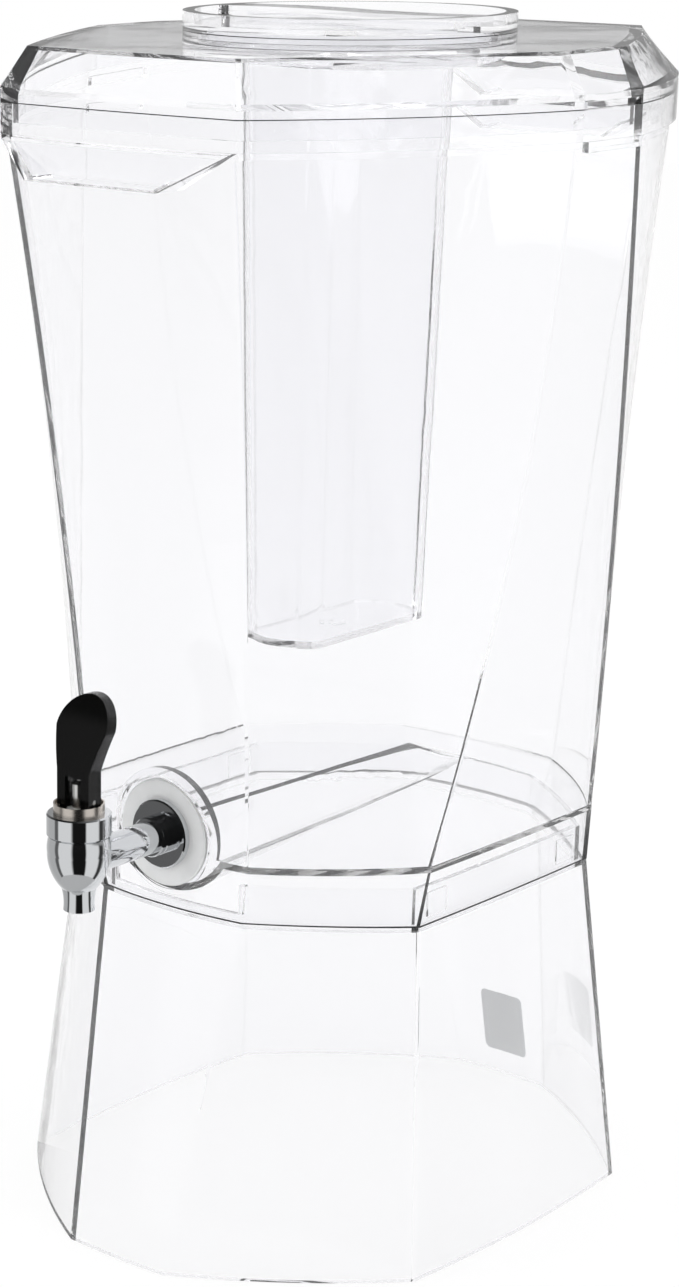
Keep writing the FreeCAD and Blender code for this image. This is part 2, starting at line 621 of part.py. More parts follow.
# Lid: sloped corner faces, flat top with a collared round hole, and a skirt inside the tank's mouth
lid = new_body("lid")
feature(lid, "Pad", mouth.sketch(lid, "LidEdge", dim.mouth_level), dim.brim_level - dim.mouth_level)
loft(lid, "AdditiveLoft", [
    mouth.sketch(lid, "LidBrim", dim.brim_level),
    plate.sketch(lid, "LidTop", dim.plate_level)], ruled=True)
skirt_inset = dim.rim_inset + dim.seat_gap
skirt = mouth.sketch(lid, "LidSkirt", dim.mouth_level - dim.skirt_drop, skirt_inset)
feature(lid, "Pad", skirt, dim.skirt_drop + dim.wall)
skirt_hollow = mouth.sketch(lid, "SkirtHollow", dim.mouth_level - dim.skirt_drop,
                            skirt_inset + dim.flange_wall)
feature(lid, "Pocket", skirt_hollow, dim.skirt_drop + dim.wall, reverse=True)
loft(lid, "SubtractiveLoft", [
    mouth.sketch(lid, "LidHollow", dim.mouth_level + dim.wall, skirt_inset + dim.flange_wall),
    plate.sketch(lid, "LidHollowTop", dim.plate_level - dim.wall, dim.wall + dim.flange_wall)], ruled=True)
collar = new_sketch(lid, "HoleCollar", "XY_Plane", dim.plate_level - dim.collar_drop)
ring(collar, dim.cup_radius + dim.core_play + dim.wall)
feature(lid, "Pad", collar, dim.collar_drop)
for hand, name in ((1, "Right"), (-1, "Left")):
    inner = dim.mouth_side_reach - dim.lid_notch_depth
    outer = dim.mouth_side_reach + dim.wall
    low_x, high_x = (inner, outer) if hand > 0 else (-outer, -inner)
    box(lid, "SubtractiveBox", "FingerNotch" + name, (low_x, -dim.lip_half, dim.mouth_level - dim.wall),
        (high_x, dim.lip_half, dim.mouth_level + dim.lid_notch_rise))
hole = new_sketch(lid, "CoreHole", "XY_Plane", dim.plate_level + dim.wall)
ring(hole, dim.cup_radius + dim.core_play)
feature(lid, "Pocket", hole, dim.collar_drop + dim.wall * 3)

# Ice core: a round cup with a flange on the lid, running into a long narrow closed tube
core = new_body("ice_core")


def core_section(name, level, grow, thin):
    """Plan of the tube: straight sides, bowed ends and rounded corners."""
    item = new_sketch(core, name, "XY_Plane", level)
    half = dim.core_half_width + grow - thin
    length = dim.core_half_length + grow - thin
    turn_in = dim.core_corner - thin
    near = half - turn_in
    far = length - turn_in
    swell = turn_in * (1 - math.sqrt(0.5))
    loop(item, [(-near, -length), (near, -length), (half, -far), (half, far),
                (near, length), (-near, length), (-half, far), (-half, -far)],
         {0: dim.core_end_bulge, 1: swell, 3: swell, 4: dim.core_end_bulge, 5: swell, 7: swell})
    return item


cup = new_sketch(core, "CupOutline", "XY_Plane", dim.cup_level)
ring(cup, dim.cup_radius)
feature(core, "Pad", cup, dim.plate_level - dim.cup_level)
rim = new_sketch(core, "CoreFlange", "XY_Plane", dim.plate_level)
ring(rim, dim.hub_radius)
feature(core, "Pad", rim, dim.core_flange)
loft(core, "AdditiveLoft", [
    core_section("TubeBottom", dim.core_level, none, none),
    core_section("TubeTop", dim.cup_level + dim.core_wall, dim.core_draft, none)], ruled=True)
cup_hollow = new_sketch(core, "CupHollow", "XY_Plane", dim.plate_level + dim.core_flange)
ring(cup_hollow, dim.cup_radius - dim.core_wall)
feature(core, "Pocket", cup_hollow, dim.plate_level + dim.core_flange - dim.cup_level - dim.core_wall)
loft(core, "SubtractiveLoft", [
    core_section("TubeHollowBottom", dim.core_level + dim.core_wall, none, dim.core_wall),
    core_section("TubeHollowTop", dim.cup_level + dim.core_wall * 2, dim.core_draft, dim.core_wall)],
    ruled=True)
gate = new_sketch(core, "GateMark", "XY_Plane", dim.core_level - dim.gate_rise)
ring(gate, dim.gate_radius)
feature(core, "Pad", gate, dim.gate_rise)

# Core cap: a shallow dish turned over, with two finger pockets beside a waved grip
cap = new_body("core_cap")
cap_level = dim.plate_level + dim.core_flange
disc = new_sketch(cap, "CapDisc", "XY_Plane", cap_level)
ring(disc, dim.hub_radius)
feature(cap, "Pad", disc, dim.cap_rise)
plug_radius = dim.cup_radius - dim.core_wall - dim.core_play
plug = new_sketch(cap, "CapPlug", "XY_Plane", cap_level - dim.cap_plug_drop)
ring(plug, plug_radius)
feature(cap, "Pad", plug, dim.cap_plug_drop)
dish = new_sketch(cap, "CapDish", "XY_Plane", cap_level - dim.cap_plug_drop)
ring(dish, plug_radius - dim.cap_wall)
feature(cap, "Pocket", dish, dim.cap_plug_drop + dim.cap_rise - dim.cap_wall, reverse=True)


def pocket_plan(name, level, hand, thin):
    """Plan of a finger pocket: a chord with a wave in it, closed by an arc along the rim."""
    item = new_sketch(cap, name, "XY_Plane", level)
    edge = dim.hub_radius - dim.pocket_rim - thin
    chord = dim.grip_offset + thin
    half = root(edge * edge - chord * chord)
    loop(item, [(-half * hand, chord * hand), (ZERO, chord * hand), (half * hand, chord * hand)],
         {0: (dim.grip_wave, -1), 1: dim.grip_wave, 2: edge - chord})
    return item


for hand, name in ((1, "Back"), (-1, "Front")):
    shell = pocket_plan("Pocket" + name + "Shell", cap_level + dim.pocket_floor, hand, -dim.cap_wall)
    feature(cap, "Pad", shell, dim.cap_rise - dim.pocket_floor)
    hollow = pocket_plan("Pocket" + name, cap_level + dim.cap_rise, hand, none)
    feature(cap, "Pocket", hollow, dim.cap_rise - dim.pocket_floor - dim.cap_wall)


# Tap pieces turned about the tap's own upright axis
def turned(label, corners, bows=None):
    body = new_body(label)
    sketch = new_sketch(body, label + "_profile", "XZ_Plane", ZERO)
    loop(sketch, corners, bows)
    turn(body, "Revolution", sketch)
    bind(body, "Placement.Base.y", -dim.tap_reach)
    return body


tap_body = turned("tap_body", [
    (dim.nozzle_bore, dim.nozzle_level), (dim.nozzle_radius, dim.nozzle_level),
    (dim.neck_radius, dim.valve_seat_level), (dim.bulb_radius, dim.tap_level + dim.bulb_lift),
    (dim.joint_radius, dim.joint_level), (dim.thread_radius, dim.joint_level),
    (dim.thread_radius, dim.thread_level), (dim.chamber_radius, dim.thread_level),
    (dim.chamber_radius, dim.chamber_level), (dim.nozzle_bore, dim.valve_seat_level)],
    {1: (dim.nozzle_bow, -1), 2: dim.bulb_bow, 3: dim.joint_bow})
socket_start = dim.chamber_radius - dim.socket_overlap
socket = new_sketch(tap_body, "Socket", "XZ_Plane", -socket_start)
ring(socket, dim.shank_radius, (ZERO, dim.tap_level))
feature(tap_body, "Pad", socket, dim.tap_reach - dim.socket_reach - socket_start, reverse=True)
chamber = new_sketch(tap_body, "Chamber", "XY_Plane", dim.chamber_level)
ring(chamber, dim.chamber_radius)
feature(tap_body, "Pocket", chamber, dim.thread_level - dim.chamber_level, reverse=True)
inlet = new_sketch(tap_body, "Inlet", "XZ_Plane", ZERO)
ring(inlet, dim.shank_bore, (ZERO, dim.tap_level))
feature(tap_body, "Pocket", inlet, dim.tap_reach - dim.socket_reach, reverse=False)
spigot_hole = new_sketch(tap_body, "SpigotHole", "XZ_Plane", dim.socket_reach - dim.tap_reach)
ring(spigot_hole, dim.spigot_radius + dim.fit_gap, (ZERO, dim.tap_level))
feature(tap_body, "Pocket", spigot_hole, dim.spigot_length, reverse=True)

bonnet_collar = turned("bonnet_collar", [
    (dim.thread_radius + dim.fit_gap, dim.joint_level + dim.seat_gap),
    (dim.collar_radius - dim.edge, dim.joint_level + dim.seat_gap),
    (dim.collar_radius, dim.joint_level + dim.seat_gap + dim.edge),
    (dim.collar_radius, dim.collar_top - dim.edge), (dim.collar_radius - dim.edge, dim.collar_top),
    (dim.ring_radius + dim.fit_gap, dim.collar_top),
    (dim.ring_radius + dim.fit_gap, dim.thread_level + dim.clamp_thick),
    (dim.thread_radius + dim.fit_gap, dim.thread_level + dim.clamp_thick)])

cam_ring = turned("cam_ring", [
    (dim.bush_radius + dim.fit_gap, dim.thread_level - dim.spigot_drop),
    (dim.chamber_radius - dim.fit_gap, dim.thread_level - dim.spigot_drop),
    (dim.chamber_radius - dim.fit_gap, dim.thread_level),
    (dim.thread_radius, dim.thread_level), (dim.thread_radius, dim.thread_level + dim.clamp_thick),
    (dim.ring_radius, dim.thread_level + dim.clamp_thick), (dim.ring_radius, dim.cap_ring_top),
    (dim.ring_bore, dim.cap_ring_top), (dim.ring_bore, dim.cam_level),
    (dim.bush_radius + dim.fit_gap, dim.cam_level)])

bush_level = dim.bush_level
stem_bush = turned("stem_bush", [
    (dim.stem_radius + dim.running_gap, bush_level - dim.bush_lip),
    (dim.bush_flange, bush_level - dim.bush_lip), (dim.bush_flange, bush_level),
    (dim.bush_radius, bush_level), (dim.bush_radius, dim.cam_level - dim.fit_gap * 4),
    (dim.stem_radius + dim.running_gap, dim.cam_level - dim.fit_gap * 4)])

spring_cup = turned("upper_spring_washer", [
    (dim.stem_radius + dim.oring_radius * 2, dim.spring_head),
    (dim.bush_flange, dim.spring_head), (dim.bush_flange, bush_level - dim.bush_lip),
    (dim.stem_radius + dim.oring_radius * 2, bush_level - dim.bush_lip)])

oring = new_body("stem_o_ring")
oring_sketch = new_sketch(oring, "stem_o_ring_profile", "XZ_Plane", ZERO)
ring(oring_sketch, dim.oring_radius - dim.running_gap / 2,
     (dim.stem_radius + dim.oring_radius, bush_level - dim.bush_lip - dim.oring_radius))
turn(oring, "Revolution", oring_sketch)
bind(oring, "Placement.Base.y", -dim.tap_reach)

seal_top = dim.spring_foot - dim.washer_gauge
valve_seal = turned("valve_seal", [
    (dim.stem_radius, dim.chamber_level - dim.seal_bite),
    (dim.stem_radius, dim.valve_seat_level + dim.seal_nose),
    (dim.nozzle_bore - dim.seal_nose, dim.valve_seat_level),
    (dim.nozzle_bore - dim.fit_gap, dim.valve_seat_level + dim.fit_gap),
    (dim.seal_radius, dim.seal_shoulder), (dim.seal_radius, seal_top), (dim.stem_radius, seal_top)])

lower_washer = turned("lower_spring_washer", [
    (dim.stem_radius + dim.running_gap, seal_top), (dim.bush_flange, seal_top),
    (dim.bush_flange, dim.spring_foot), (dim.stem_radius + dim.running_gap, dim.spring_foot)])

valve_stem = turned("valve_stem", [
    (ZERO, dim.valve_seat_level + dim.seal_nose * 2), (dim.stem_radius, dim.valve_seat_level + dim.seal_nose * 2),
    (dim.stem_radius, dim.stem_top - dim.stem_radius / 2), (dim.stem_radius / 2, dim.stem_top),
    (ZERO, dim.stem_top)])
stem_eye = new_sketch(valve_stem, "StemEye", "YZ_Plane", ZERO)
ring(stem_eye, dim.pin_radius + dim.running_gap, (ZERO, dim.pin_level))
feature(valve_stem, "Pocket", stem_eye, dim.stem_radius * 4, midplane=True)

# Return spring: a round wire wound round the stem
spring = new_body("stem_spring")
wire = new_sketch(spring, "SpringWire", "XZ_Plane", ZERO)
ring(wire, dim.spring_wire, (dim.spring_radius, dim.spring_foot + dim.spring_wire))
coil = spring.newObject("PartDesign::AdditiveHelix", "Coil")
coil.Profile = wire
coil.ReferenceAxis = (wire, ["V_Axis"])
coil.Mode = "height-turns-angle"
coil_height = dim.spring_head - dim.spring_foot - dim.spring_wire * 2
coil.Height = number(coil_height)
coil.Turns = number(dim.spring_turns)
bind(coil, "Height", coil_height)
bind(coil, "Turns", dim.spring_turns)
bind(spring, "Placement.Base.y", -dim.tap_reach)


# Pieces turned about the shank's level axis; the profile plane's upright axis points away from the tap
def turned_level(label, corners, bows=None):
    body = new_body(label)
    sketch = new_sketch(body, label + "_profile", "XZ_Plane", ZERO)
    loop(sketch, corners, bows)
    turn(body, "Revolution", sketch)
    body.Placement = FreeCAD.Placement(
        FreeCAD.Vector(0, 0, number(dim.tap_level)), FreeCAD.Rotation(FreeCAD.Vector(1, 0, 0), 90))
    bind(body, "Placement.Base.z", dim.tap_level)
    return body


disc_back = dim.pad_reach + dim.washer_thick
disc_front = disc_back + dim.disc_thick
nut_seat = inner_reach - dim.washer_thick
thread_end_reach = nut_seat - dim.nut_thick - dim.thread_stub
tap_shank = turned_level("tap_shank", [
    (dim.shank_bore, thread_end_reach), (dim.shank_thread_radius, thread_end_reach),
    (dim.shank_thread_radius, disc_back), (dim.disc_radius, disc_back),
    (dim.disc_radius, disc_front - dim.edge), (dim.disc_radius - dim.edge, disc_front),
    (dim.step_radius, disc_front),
    (dim.step_radius, dim.groove_reach - dim.edge), (dim.step_radius - dim.edge, dim.groove_reach),
    (dim.step_radius, dim.groove_reach + dim.edge), (dim.step_radius, dim.step_reach - dim.edge),
    (dim.step_radius - dim.edge, dim.step_reach),
    (dim.shank_radius, dim.step_reach), (dim.shank_radius, dim.socket_reach),
    (dim.spigot_radius, dim.socket_reach),
    (dim.spigot_radius, dim.socket_reach + dim.spigot_length - dim.seat_gap),
    (dim.shank_bore, dim.socket_reach + dim.spigot_length - dim.seat_gap)])

outer_washer = turned_level("outer_washer", [
    (dim.shank_hole_radius, dim.pad_reach), (dim.washer_radius, dim.pad_reach),
    (dim.washer_radius, disc_back - dim.edge), (dim.washer_radius - dim.edge, disc_back),
    (dim.shank_hole_radius, disc_back)])

inner_washer = turned_level("inner_washer", [
    (dim.shank_hole_radius, nut_seat), (dim.inner_washer_radius, nut_seat),
    (dim.inner_washer_radius, inner_reach), (dim.shank_hole_radius, inner_reach)])

lock_nut = new_body("lock_nut")
nut_plan = new_sketch(lock_nut, "NutPlan", "XZ_Plane", nut_seat - dim.nut_thick)
corner_reach = dim.nut_flats / root(Length(3.0, "3"))
loop(nut_plan, [
    (corner_reach, dim.tap_level), (corner_reach / 2, dim.tap_level + dim.nut_flats / 2),
    (-corner_reach / 2, dim.tap_level + dim.nut_flats / 2), (-corner_reach, dim.tap_level),
    (-corner_reach / 2, dim.tap_level - dim.nut_flats / 2),
    (corner_reach / 2, dim.tap_level - dim.nut_flats / 2)])
feature(lock_nut, "Pad", nut_plan, dim.nut_thick)
nut_hole = new_sketch(lock_nut, "NutHole", "XZ_Plane", nut_seat - dim.nut_thick * 2)
ring(nut_hole, dim.shank_thread_radius + dim.fit_gap, (ZERO, dim.tap_level))
feature(lock_nut, "Pocket", nut_hole, dim.nut_thick * 3, reverse=True)

# Lever: a slotted fork with rocking cams under it and a round-topped paddle that leans to the tank
lever = new_body("tap_lever")
side_view = new_sketch(lever, "LeverSide", "YZ_Plane", ZERO)
depth = dim.fork_half_depth
loop(side_view, [
    (-depth, dim.lever_level + dim.cam_toe_rise), (-dim.cam_flat, dim.lever_level),
    (depth - dim.heel, dim.lever_level), (depth, dim.lever_level + dim.heel),
    (depth, dim.seam_level), (dim.paddle_lean + dim.paddle_thick - depth, dim.paddle_top),
    (dim.paddle_lean - depth, dim.paddle_top), (-depth, dim.seam_level)],
    {0: dim.cam_bow, 4: (dim.paddle_bow, -1), 6: dim.paddle_bow})
feature(lever, "Pad", side_view, dim.paddle_half_width * 2, midplane=True)
front_view = new_sketch(lever, "LeverFront", "XZ_Plane", dim.paddle_half_width)
margin = dim.paddle_half_width * 2
loop(front_view, [
    (-margin, dim.cam_level - dim.wall), (margin, dim.cam_level - dim.wall),
    (margin, dim.paddle_top + dim.wall), (-margin, dim.paddle_top + dim.wall)])
shoulder_z = dim.paddle_top - dim.paddle_half_width
loop(front_view, [
    (-dim.fork_half_width, dim.cam_level - dim.edge), (dim.fork_half_width, dim.cam_level - dim.edge),
    (dim.fork_half_width, dim.seam_level), (dim.paddle_half_width, shoulder_z),
    (-dim.paddle_half_width, shoulder_z), (-dim.fork_half_width, dim.seam_level)],
    {3: dim.paddle_half_width - dim.fit_gap})
feature(lever, "Pocket", front_view, dim.paddle_half_width * 4)
slot = new_sketch(lever, "ForkSlot", "XZ_Plane", dim.paddle_half_width)
loop(slot, [
    (-dim.slot_half, dim.cam_level - dim.wall), (dim.slot_half, dim.cam_level - dim.wall),
    (dim.slot_half, dim.slot_top), (-dim.slot_half, dim.slot_top)])
feature(lever, "Pocket", slot, dim.paddle_half_width * 2)
lever_eye = new_sketch(lever, "LeverEye", "YZ_Plane", ZERO)
ring(lever_eye, dim.pin_radius + dim.running_gap, (ZERO, dim.pin_level))
feature(lever, "Pocket", lever_eye, dim.fork_half_width * 3, midplane=True)
bind(lever, "Placement.Base.y", -dim.tap_reach)

pin = new_body("lever_pin")
pin_plan = new_sketch(pin, "PinPlan", "YZ_Plane", ZERO)
ring(pin_plan, dim.pin_radius, (ZERO, dim.pin_level))
feature(pin, "Pad", pin_plan, dim.fork_half_width * 2 - dim.edge, midplane=True)
bind(pin, "Placement.Base.y", -dim.tap_reach)

doc.recompute()
faults = [item.Name for item in doc.Objects if {"Invalid", "Error"} & set(item.State)]
bodies = [item for item in doc.Objects if item.TypeId == "PartDesign::Body"]
faults += [item.Label for item in bodies if item.Shape.isNull() or not item.Shape.isValid()]
if faults:
    raise RuntimeError("faulty objects: " + ", ".join(faults))
for body in bodies:
    body.Shape.exportStep(os.path.join("parts", body.Label + ".step"))
    extent = body.Shape.optimalBoundingBox(True, False)
    print("%-22s solids %d  volume %10.1f  x %.1f %.1f  y %.1f %.1f  z %.1f %.1f" % (
        body.Label, len(body.Shape.Solids), body.Shape.Volume,
        extent.XMin, extent.XMax, extent.YMin, extent.YMax, extent.ZMin, extent.ZMax))
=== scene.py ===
"""Dresses the cold-drink dispenser: clear mouldings, chromed tap, black lever and its studio."""
import json
import math

import bpy
from bpy.props import FloatProperty, FloatVectorProperty, PointerProperty
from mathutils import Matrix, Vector


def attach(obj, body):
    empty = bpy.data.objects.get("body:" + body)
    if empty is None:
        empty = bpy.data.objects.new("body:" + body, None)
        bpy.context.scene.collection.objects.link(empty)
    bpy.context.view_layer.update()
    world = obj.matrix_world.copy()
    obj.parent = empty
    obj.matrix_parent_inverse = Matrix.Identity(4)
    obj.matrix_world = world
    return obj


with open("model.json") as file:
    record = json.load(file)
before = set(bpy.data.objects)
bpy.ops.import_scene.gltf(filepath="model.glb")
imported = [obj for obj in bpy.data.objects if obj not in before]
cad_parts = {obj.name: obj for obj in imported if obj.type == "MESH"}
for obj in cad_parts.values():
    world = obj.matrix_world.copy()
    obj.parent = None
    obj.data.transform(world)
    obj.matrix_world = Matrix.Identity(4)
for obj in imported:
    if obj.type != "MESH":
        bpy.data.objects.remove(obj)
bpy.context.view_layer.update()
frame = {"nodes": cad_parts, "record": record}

bl_info = {
    "name": "Cold-Drink Dispenser",
    "version": (1, 0, 0),
    "blender": (4, 5, 0),
    "location": "View3D > Sidebar > Dispenser",
    "description": "Finishes, fine detail and studio for a clear drink dispenser",
    "category": "Object",
}


def colour(hex_text):
    """Turns an sRGB hex value into the linear RGBA that the shaders use."""
    channels = [int(hex_text[i:i + 2], 16) / 255 for i in (1, 3, 5)]
    linear = [c / 12.92 if c <= 0.04045 else ((c + 0.055) / 1.055) ** 2.4 for c in channels]
    return (*linear, 1.0)


def add(tree, kind, settings=None, values=None, links=None):
    """Adds one node with its settings, plain socket values and links."""
    node = tree.nodes.new(kind)
    for name, value in (settings or {}).items():
        setattr(node, name, value)
    for name, value in (values or {}).items():
        node.inputs[name].default_value = value
    for name, source in (links or {}).items():
        tree.links.new(source, node.inputs[name])
    return node


def begin(name):
    """An empty material with its output and its Object coordinates."""
    material = bpy.data.materials.new(name)
    material.use_nodes = True
    tree = material.node_tree
    tree.nodes.clear()
    output = add(tree, "ShaderNodeOutputMaterial")
    place = add(tree, "ShaderNodeTexCoord").outputs["Object"]
    return material, tree, output, place


def ripple(tree, place, millimetres, strength, depth, detail=2.0):
    """Fine unevenness of a surface, from noise whose swells are the given width in millimetres."""
    noise = add(tree, "ShaderNodeTexNoise", values={"Scale": 1000 / millimetres, "Detail": detail},
                links={"Vector": place})
    bump = add(tree, "ShaderNodeBump", values={"Strength": strength, "Distance": depth},
               links={"Height": noise.outputs["Fac"]})
    return bump.outputs["Normal"]


def clear_styrene():
    """Clear SAN, injection moulded: bright and see-through, with faint flow ripples 45 mm wide.

    Its IOR and transmission are set for light, thin edges; real SAN is near 1.57.
    """
    material, tree, output, place = begin("Clear SAN")
    shader = add(tree, "ShaderNodeBsdfPrincipled",
                 values={"Base Color": colour("#FEFEFF"), "Roughness": 0.01, "IOR": 1.30,
                         "Transmission Weight": 0.97},
                 links={"Normal": ripple(tree, place, 45, 0.12, 0.0006, 1.0)})
    tree.links.new(shader.outputs["BSDF"], output.inputs["Surface"])
    return material


def chrome_plate():
    """Chromed brass, buffed: a cold mirror, very slightly uneven where the casting was polished."""
    material, tree, output, place = begin("Chromed Brass")
    smear = add(tree, "ShaderNodeTexNoise", values={"Scale": 1000 / 6.0, "Detail": 3.0},
                links={"Vector": place})
    gloss = add(tree, "ShaderNodeMapRange", values={"To Min": 0.03, "To Max": 0.09},
                links={"Value": smear.outputs["Fac"]})
    shader = add(tree, "ShaderNodeBsdfPrincipled",
                 values={"Base Color": colour("#D6D8DA"), "Metallic": 1.0},
                 links={"Roughness": gloss.outputs["Result"],
                        "Normal": ripple(tree, place, 9, 0.05, 0.0001)})
    tree.links.new(shader.outputs["BSDF"], output.inputs["Surface"])
    return material


def turned_nickel():
    """Turned nickel-plated brass: warmer and duller than the chrome, with fine lathe rings."""
    material, tree, output, place = begin("Turned Nickel")
    rings = add(tree, "ShaderNodeTexWave", {"wave_type": "BANDS", "bands_direction": "Z"},
                {"Scale": 1000 / 0.9, "Distortion": 0.4}, {"Vector": place})
    bump = add(tree, "ShaderNodeBump", values={"Strength": 0.12, "Distance": 0.0001},
               links={"Height": rings.outputs["Fac"]})
    shader = add(tree, "ShaderNodeBsdfPrincipled",
                 values={"Base Color": colour("#C9C2BA"), "Metallic": 1.0, "Roughness": 0.22},
                 links={"Normal": bump.outputs["Normal"]})
    tree.links.new(shader.outputs["BSDF"], output.inputs["Surface"])
    return material


def drawn_steel():
    """Drawn stainless steel wire and rod: bright, with faint lengthwise drawing lines."""
    material, tree, output, place = begin("Drawn Stainless Steel")
    stretch = add(tree, "ShaderNodeMapping", values={"Scale": (1400.0, 1400.0, 60.0)},
                  links={"Vector": place})
    lines = add(tree, "ShaderNodeTexNoise", values={"Scale": 1.0, "Detail": 2.0},
                links={"Vector": stretch.outputs["Vector"]})
    gloss = add(tree, "ShaderNodeMapRange", values={"To Min": 0.14, "To Max": 0.30},
                links={"Value": lines.outputs["Fac"]})
    shader = add(tree, "ShaderNodeBsdfPrincipled",
                 values={"Base Color": colour("#D2D2D0"), "Metallic": 1.0},
                 links={"Roughness": gloss.outputs["Result"]})
    tree.links.new(shader.outputs["BSDF"], output.inputs["Surface"])
    return material


def silicone_rubber():
    """Natural silicone, pressed: frosted and milky, so that light glows at its edge."""
    material, tree, output, place = begin("Frosted Silicone")
    shader = add(tree, "ShaderNodeBsdfPrincipled",
                 values={"Base Color": colour("#F1F2F2"), "Roughness": 0.42, "IOR": 1.41,
                         "Transmission Weight": 0.35, "Subsurface Weight": 0.3,
                         "Subsurface Radius": (0.004, 0.004, 0.004)},
                 links={"Normal": ripple(tree, place, 0.8, 0.25, 0.00005, 3.0)})
    tree.links.new(shader.outputs["BSDF"], output.inputs["Surface"])
    return material


def natural_nylon():
    """Natural nylon, moulded: milky white, with a soft low sheen."""
    material, tree, output, place = begin("Natural Nylon")
    cloud = add(tree, "ShaderNodeTexNoise", values={"Scale": 1000 / 8.0, "Detail": 2.0},
                links={"Vector": place})
    tint = add(tree, "ShaderNodeMix", {"data_type": "RGBA"},
               {"A": colour("#E6E7E4"), "B": colour("#F3F4F2")}, {"Factor": cloud.outputs["Fac"]})
    shader = add(tree, "ShaderNodeBsdfPrincipled",
                 values={"Roughness": 0.38, "IOR": 1.53, "Transmission Weight": 0.45},
                 links={"Base Color": tint.outputs["Result"]})
    tree.links.new(shader.outputs["BSDF"], output.inputs["Surface"])
    return material


def black_abs():
    """Black ABS from a polished mould: deep black with a wet gloss and a trace of orange peel."""
    material, tree, output, place = begin("Black ABS")
    shader = add(tree, "ShaderNodeBsdfPrincipled",
                 values={"Base Color": colour("#070707"), "Roughness": 0.11, "IOR": 1.53},
                 links={"Normal": ripple(tree, place, 1.6, 0.06, 0.00005, 2.0)})
    tree.links.new(shader.outputs["BSDF"], output.inputs["Surface"])
    return material


def nitrile_rubber():
    """Black nitrile O-ring rubber: dark and dull with a fine moulded grain."""
    material, tree, output, place = begin("Nitrile Rubber")
    shader = add(tree, "ShaderNodeBsdfPrincipled",
                 values={"Base Color": colour("#161616"), "Roughness": 0.6},
                 links={"Normal": ripple(tree, place, 0.5, 0.3, 0.00004, 3.0)})
    tree.links.new(shader.outputs["BSDF"], output.inputs["Surface"])
    return material


def frosted_film():
    """Blank frosted polyester film stuck on the moulding: pale grey, even and dull."""
    material, tree, output, place = begin("Frosted Film")
    grain = add(tree, "ShaderNodeTexNoise", values={"Scale": 1000 / 1.5, "Detail": 3.0},
                links={"Vector": place})
    tint = add(tree, "ShaderNodeMix", {"data_type": "RGBA"},
               {"A": colour("#EFF1F1"), "B": colour("#F6F7F7")}, {"Factor": grain.outputs["Fac"]})
    shader = add(tree, "ShaderNodeBsdfPrincipled", values={"Roughness": 0.55},
                 links={"Base Color": tint.outputs["Result"]})
    tree.links.new(shader.outputs["BSDF"], output.inputs["Surface"])
    return material


FINISHES = {
    "clear_plastic": clear_styrene,
    "chrome": chrome_plate,
    "nickel": turned_nickel,
    "steel": drawn_steel,
    "silicone": silicone_rubber,
    "white_plastic": natural_nylon,
    "black_plastic": black_abs,
    "black_rubber": nitrile_rubber,
}


class DispenserSizes(bpy.types.PropertyGroup):
    patch_place: FloatVectorProperty(
        name="Patch place", description="Middle of the blank patch along X and Z",
        size=2, default=(0.0035, 0.0288), unit="LENGTH")
    patch_size: FloatVectorProperty(
        name="Patch size", description="Width and height of the blank frosted patch",
        size=2, default=(0.0245, 0.0335), unit="LENGTH")
    floor_size: FloatProperty(
        name="Floor size", description="Side of the studio floor", default=8.0, unit="LENGTH")


class DISPENSER_OT_finishes(bpy.types.Operator):
    """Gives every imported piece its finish"""
    bl_idname = "dispenser.finishes"
    bl_label = "Finish the mouldings and the tap"

    def execute(self, context):
        made = {slot: build() for slot, build in FINISHES.items()}
        for part in frame["record"]["subparts"]:
            piece = frame["nodes"][part["node"]]
            piece.data.materials.clear()
            piece.data.materials.append(made[part["material_slot"]])
        return {"FINISHED"}


def deselect():
    for item in bpy.context.selected_objects:
        item.select_set(False)


FLOOR_DROP = 0.0005
# Share of the floor's white that is its own light; the rest is lit and takes the shadow
FLOOR_GLOW = 0.88
# The small grey table under the tap, which only mirrors see
TABLE_MIDDLE = (0.0, -0.19, 0.0)
TABLE_RADIUS = 0.16
TABLE_GREY = 0.5
LAMPS_AIM = Vector((0, 0, 0.3))
# Each upright card's start and end as a share of the way round, and its brightness
CARDS = ((0.0, 0.10, 0.55), (0.115, 0.145, 0.14), (0.16, 0.285, 0.88),
         (0.31, 0.43, 0.01), (0.445, 0.565, 0.90), (0.585, 0.615, 0.05),
         (0.64, 0.72, 0.60), (0.75, 0.92, 0.90), (0.96, 1.0, 0.60))
# The dark roof comes down lower behind the object, where the lid's flat top mirrors it
ROOF_LEAN = 0.3
ROOF_START, ROOF_FULL = 0.15, 0.24
ROOF_BACK, ROOF_BACK_GREY = 0.75, 0.38
ROOF_FRONT, ROOF_FRONT_GREY = -0.30, 0.02


def either(tree, first, second):
    """Yes where at least one of two yes-or-no values is yes."""
    return add(tree, "ShaderNodeMath", {"operation": "MAXIMUM"},
               links={0: first, 1: second}).outputs[0]


def off_a_mirror(tree, path):
    """Rays off a mirror. A ray through clear plastic counts as glossy too, so it is taken out."""
    return add(tree, "ShaderNodeMath", {"operation": "SUBTRACT", "use_clamp": True},
               links={0: path.outputs["Is Glossy Ray"],
                      1: path.outputs["Is Transmission Ray"]}).outputs[0]


